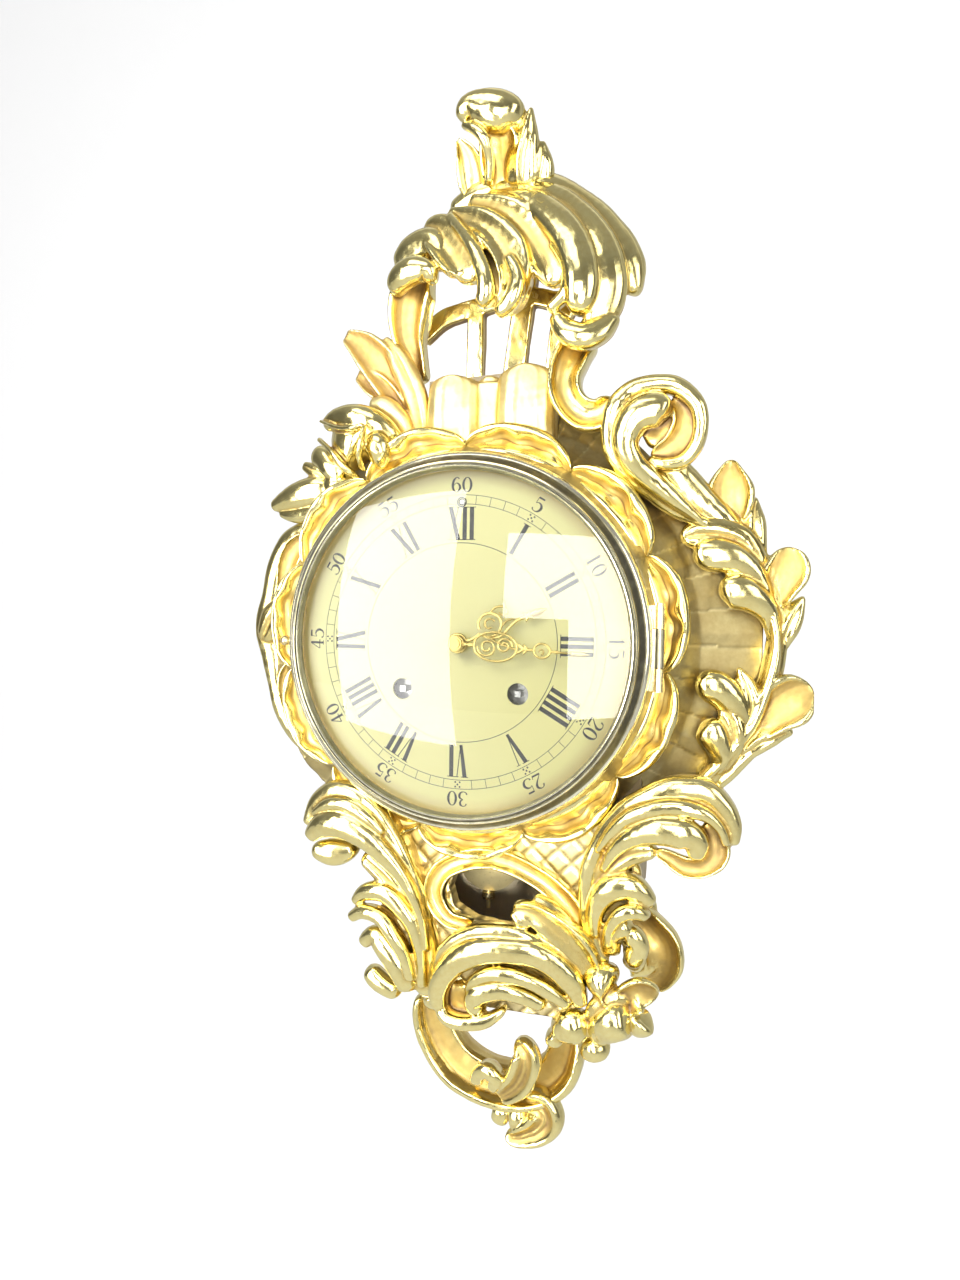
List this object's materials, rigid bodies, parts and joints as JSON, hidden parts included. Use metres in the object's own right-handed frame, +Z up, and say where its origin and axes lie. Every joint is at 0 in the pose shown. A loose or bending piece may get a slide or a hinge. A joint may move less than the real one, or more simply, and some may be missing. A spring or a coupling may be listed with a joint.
{
  "type": "wall clock",
  "caption": "Carved giltwood wall clock with a hinged glazed door, striking movement, pendulum behind an oval window and hanger plate.",
  "frame": {"origin": "on the wall plane at the middle of the rear cover, where the dial axis meets it", "axes": "+Y into the wall, so the dial faces -Y; +Z up; +X to the right seen from the front"},
  "size_m": [0.3296, 0.102, 0.5886],
  "materials": {
    "burnished_gilt": "burnished gold leaf on carved wood",
    "satin_gilt": "satin gold on wood",
    "case_wood": "oiled wood",
    "dial_paint": "satin cream paint",
    "glass": "clear",
    "brass": "lacquered",
    "gilt_brass": "polished",
    "steel": "fine ground"
  },
  "bodies": {
    "case": {"backboard": "case_wood", "rear_cover": "case_wood", "case_side": "case_wood", "ground_panel": "satin_gilt", "fluted_panel": "satin_gilt", "scallop_ring": "burnished_gilt", "crest_finial": "burnished_gilt", "hood": "burnished_gilt", "trellis": "satin_gilt", "upper_scroll": "burnished_gilt", "volute_scroll": "burnished_gilt", "right_spray": "burnished_gilt", "left_leaf": "burnished_gilt", "flower_bud": "burnished_gilt", "left_lower_leaf": "burnished_gilt", "left_rim": "burnished_gilt", "lower_left_scroll": "burnished_gilt", "lower_right_scroll": "burnished_gilt", "window_frame": "burnished_gilt", "bottom_acanthus": "burnished_gilt", "flower": "burnished_gilt", "side_roll": "burnished_gilt", "bottom_loop": "burnished_gilt", "pendant_leaf": "burnished_gilt", "hanger_plate": "steel", "case_screws": "steel", "dial_plate": "dial_paint", "dial_ring": "brass", "hinge_pin": "brass", "front_plate": "brass", "back_plate": "brass", "plate_pillars": "brass", "movement_posts": "steel", "gong": "steel", "suspension_cock": "brass"},
    "door": {"bezel": "brass", "glass": "glass", "glass_bead": "brass", "catch_knob": "brass"},
    "minute": {"minute_hand": "gilt_brass", "hand_nut": "gilt_brass", "cannon_pinion": "steel"},
    "hour": {"hour_hand": "gilt_brass", "hour_wheel": "brass"},
    "minute_wheel": {"minute_wheel": "brass"},
    "going_barrel": {"going_barrel": "brass"},
    "centre_wheel": {"centre_wheel": "brass"},
    "third_wheel": {"third_wheel": "brass"},
    "escape_wheel": {"escape_wheel": "brass"},
    "anchor": {"anchor": "steel"},
    "pendulum": {"pendulum_rod": "brass"},
    "bob": {"bob": "brass"},
    "rating_nut": {"rating_nut": "brass"},
    "strike_barrel": {"strike_barrel": "brass"},
    "strike_wheel": {"strike_wheel": "brass"},
    "fly": {"fly": "brass"},
    "hammer": {"hammer": "brass"},
    "left_winding_arbor": {"left_winding_arbor": "steel"},
    "right_winding_arbor": {"right_winding_arbor": "steel"},
    "regulator_arbor": {"regulator_arbor": "steel"}
  },
  "joints": [
    {"name": "door_hinge", "type": "hinge", "parent": "case", "child": "door", "pos_m": [0.1052, -0.08, 0], "axis": [0, 0, 1], "range_deg": [0, 95]},
    {"name": "centre_spin", "type": "hinge", "parent": "case", "child": "centre_wheel", "pos_m": [0, -0.05, 0], "axis": [0, 1, 0], "continuous": true},
    {"name": "going_barrel_spin", "type": "hinge", "parent": "case", "child": "going_barrel", "pos_m": [0.0325, -0.05, -0.026], "axis": [0, 1, 0], "continuous": true},
    {"name": "third_spin", "type": "hinge", "parent": "case", "child": "third_wheel", "pos_m": [0.01985, -0.05, 0.01741], "axis": [0, 1, 0], "continuous": true},
    {"name": "escape_spin", "type": "hinge", "parent": "case", "child": "escape_wheel", "pos_m": [0, -0.05, 0.028], "axis": [0, 1, 0], "continuous": true},
    {"name": "minute_spin", "type": "hinge", "parent": "case", "child": "minute", "pos_m": [0, -0.08, 0], "axis": [0, 1, 0], "continuous": true},
    {"name": "minute_wheel_spin", "type": "hinge", "parent": "case", "child": "minute_wheel", "pos_m": [0, -0.077, -0.0168], "axis": [0, 1, 0], "continuous": true},
    {"name": "hour_spin", "type": "hinge", "parent": "case", "child": "hour", "pos_m": [0, -0.08, 0], "axis": [0, 1, 0], "continuous": true},
    {"name": "pendulum_swing", "type": "hinge", "parent": "case", "child": "pendulum", "pos_m": [0, -0.022, 0.048], "axis": [0, 1, 0], "range_deg": [-4, 4]},
    {"name": "anchor_rock", "type": "hinge", "parent": "case", "child": "anchor", "pos_m": [0, -0.05, 0.048], "axis": [0, 1, 0], "range_deg": [-4, 4]},
    {"name": "bob_slide", "type": "slide", "parent": "pendulum", "child": "bob", "axis": [0, 0, 1], "range_m": [-0.004, 0.004]},
    {"name": "rating_nut_spin", "type": "hinge", "parent": "bob", "child": "rating_nut", "pos_m": [0, -0.022, -0.156], "axis": [0, 0, 1], "range_deg": [-1440, 1440]},
    {"name": "strike_barrel_spin", "type": "hinge", "parent": "case", "child": "strike_barrel", "pos_m": [-0.0325, -0.05, -0.026], "axis": [0, 1, 0], "continuous": true},
    {"name": "strike_wheel_spin", "type": "hinge", "parent": "case", "child": "strike_wheel", "pos_m": [-0.028, -0.05, 0.01538], "axis": [0, 1, 0], "continuous": true},
    {"name": "fly_spin", "type": "hinge", "parent": "case", "child": "fly", "pos_m": [-0.028, -0.05, 0.03218], "axis": [0, 1, 0], "continuous": true},
    {"name": "hammer_lift", "type": "hinge", "parent": "case", "child": "hammer", "pos_m": [0.04, -0.03, -0.051], "axis": [0, 1, 0], "range_deg": [0, 18], "stiffness_Nm_per_rad": 0.02, "springref_deg": -11.46},
    {"name": "left_winding_spin", "type": "hinge", "parent": "case", "child": "left_winding_arbor", "pos_m": [-0.0325, -0.06, -0.026], "axis": [0, 1, 0], "continuous": true},
    {"name": "right_winding_spin", "type": "hinge", "parent": "case", "child": "right_winding_arbor", "pos_m": [0.0325, -0.06, -0.026], "axis": [0, 1, 0], "continuous": true},
    {"name": "regulator_turn", "type": "hinge", "parent": "case", "child": "regulator_arbor", "pos_m": [0, -0.05, 0.075], "axis": [0, 1, 0], "range_deg": [-360, 360]}
  ],
  "couplings": [
    {"joint": "going_barrel_spin", "follows": "centre_spin", "ratio": -0.14286},
    {"joint": "third_spin", "follows": "centre_spin", "ratio": -10},
    {"joint": "escape_spin", "follows": "centre_spin", "ratio": 102.5},
    {"joint": "minute_spin", "follows": "centre_spin", "ratio": 1},
    {"joint": "minute_wheel_spin", "follows": "centre_spin", "ratio": -0.33333},
    {"joint": "hour_spin", "follows": "centre_spin", "ratio": 0.083333},
    {"joint": "anchor_rock", "follows": "pendulum_swing", "ratio": 1},
    {"joint": "rating_nut_spin", "follows": "bob_slide", "rad_per_m": 6283.2},
    {"joint": "strike_wheel_spin", "follows": "strike_barrel_spin", "ratio": -7},
    {"joint": "fly_spin", "follows": "strike_barrel_spin", "ratio": 42}
  ]
}
